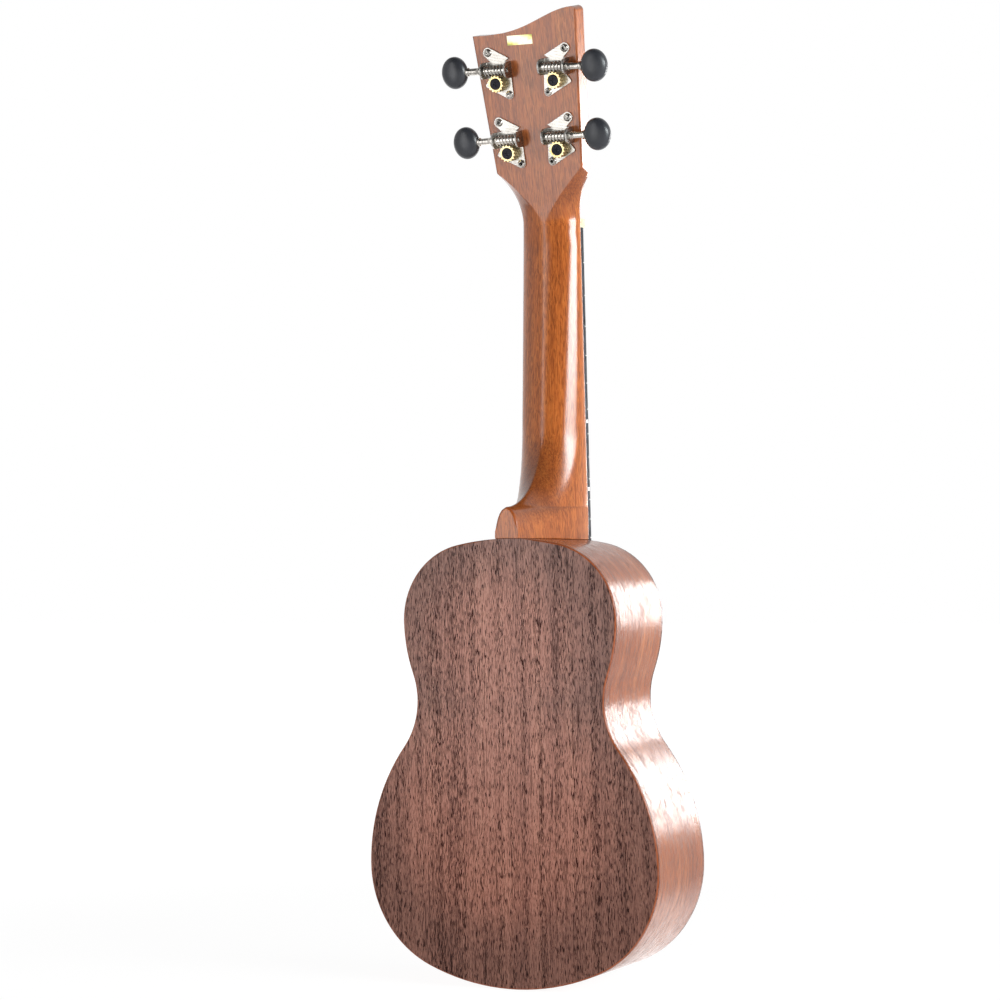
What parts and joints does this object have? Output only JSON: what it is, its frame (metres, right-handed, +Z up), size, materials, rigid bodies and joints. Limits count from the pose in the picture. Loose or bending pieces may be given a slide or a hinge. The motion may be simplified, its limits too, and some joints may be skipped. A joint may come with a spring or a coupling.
{
  "type": "ukulele",
  "caption": "Soprano ukulele with a figure-eight wooden body, a slim neck with a rounded heel, and a tilted headstock with open worm-and-gear tuners.",
  "frame": {"origin": "centre line of the neck where the strings leave the nut, in the plane of the soundboard's outer face; a hanger's yoke takes the neck there", "axes": "+Z up the neck towards the headstock, +Y out of the back plate, -Y out of the soundboard, +X towards the treble side"},
  "size_m": [0.1724, 0.0745, 0.5338],
  "materials": {
    "plate_wood": "satin",
    "side_wood": "gloss",
    "neck_wood": "satin",
    "inner_wood": "raw",
    "dark_wood": "satin",
    "cream_plastic": "satin",
    "black_plastic": "gloss",
    "nylon": "gloss",
    "nickel": "polished",
    "brass": "machined",
    "dark_steel": "oxide"
  },
  "bodies": {
    "instrument": {"back_plate": "plate_wood", "soundboard": "plate_wood", "rosette": "cream_plastic", "side_bass": "side_wood", "side_treble": "side_wood", "top_lining": "inner_wood", "back_lining": "inner_wood", "neck_block": "inner_wood", "tail_block": "inner_wood", "top_brace_upper": "inner_wood", "top_brace_lower": "inner_wood", "bridge_patch": "inner_wood", "back_brace_upper": "inner_wood", "back_brace_lower": "inner_wood", "neck_dowels": "inner_wood", "neck": "neck_wood", "fretboard": "dark_wood", "frets": "nickel", "face_dots": "cream_plastic", "side_dots": "cream_plastic", "nut": "cream_plastic", "bridge": "dark_wood", "saddle": "cream_plastic", "string_g": "nylon", "string_c": "nylon", "string_e": "nylon", "string_a": "nylon", "tuner_plate_g": "nickel", "bushing_g": "nickel", "tuner_plate_c": "nickel", "bushing_c": "nickel", "tuner_plate_e": "nickel", "bushing_e": "nickel", "tuner_plate_a": "nickel", "bushing_a": "nickel", "tuner_screws": "nickel"},
    "knob_g": {"worm_g": "nickel", "button_g": "black_plastic"},
    "winder_g": {"post_g": "nickel", "gear_g": "brass", "gear_screw_g": "dark_steel"},
    "knob_c": {"worm_c": "nickel", "button_c": "black_plastic"},
    "winder_c": {"post_c": "nickel", "gear_c": "brass", "gear_screw_c": "dark_steel"},
    "knob_e": {"worm_e": "nickel", "button_e": "black_plastic"},
    "winder_e": {"post_e": "nickel", "gear_e": "brass", "gear_screw_e": "dark_steel"},
    "knob_a": {"worm_a": "nickel", "button_a": "black_plastic"},
    "winder_a": {"post_a": "nickel", "gear_a": "brass", "gear_screw_a": "dark_steel"}
  },
  "joints": [
    {"name": "knob_turn_g", "type": "hinge", "parent": "instrument", "child": "knob_g", "pos_m": [-0.01524, 0.02602, 0.04756], "axis": [0.9998, 0.0047, 0.0204], "continuous": true},
    {"name": "post_turn_g", "type": "hinge", "parent": "instrument", "child": "winder_g", "pos_m": [-0.01509, 0.01932, 0.04168], "axis": [0, 0.974, -0.2267], "continuous": true},
    {"name": "knob_turn_c", "type": "hinge", "parent": "instrument", "child": "knob_c", "pos_m": [-0.0176, 0.03457, 0.08428], "axis": [0.9988, 0.0111, 0.0476], "continuous": true},
    {"name": "post_turn_c", "type": "hinge", "parent": "instrument", "child": "winder_c", "pos_m": [-0.01725, 0.02786, 0.0784], "axis": [0, 0.974, -0.2267], "continuous": true},
    {"name": "knob_turn_e", "type": "hinge", "parent": "instrument", "child": "knob_e", "pos_m": [0.01744, 0.03473, 0.08496], "axis": [0.9995, 0.0071, 0.0306], "continuous": true},
    {"name": "post_turn_e", "type": "hinge", "parent": "instrument", "child": "winder_e", "pos_m": [0.01766, 0.02802, 0.07908], "axis": [0, 0.974, -0.2267], "continuous": true},
    {"name": "knob_turn_a", "type": "hinge", "parent": "instrument", "child": "knob_a", "pos_m": [0.01518, 0.02602, 0.04756], "axis": [1, 0.002, 0.0085], "continuous": true},
    {"name": "post_turn_a", "type": "hinge", "parent": "instrument", "child": "winder_a", "pos_m": [0.01524, 0.01932, 0.04168], "axis": [0, 0.974, -0.2267], "continuous": true}
  ],
  "couplings": [
    {"joint": "post_turn_g", "follows": "knob_turn_g", "ratio": 0.071429},
    {"joint": "post_turn_c", "follows": "knob_turn_c", "ratio": 0.071429},
    {"joint": "post_turn_e", "follows": "knob_turn_e", "ratio": -0.071429},
    {"joint": "post_turn_a", "follows": "knob_turn_a", "ratio": -0.071429}
  ]
}
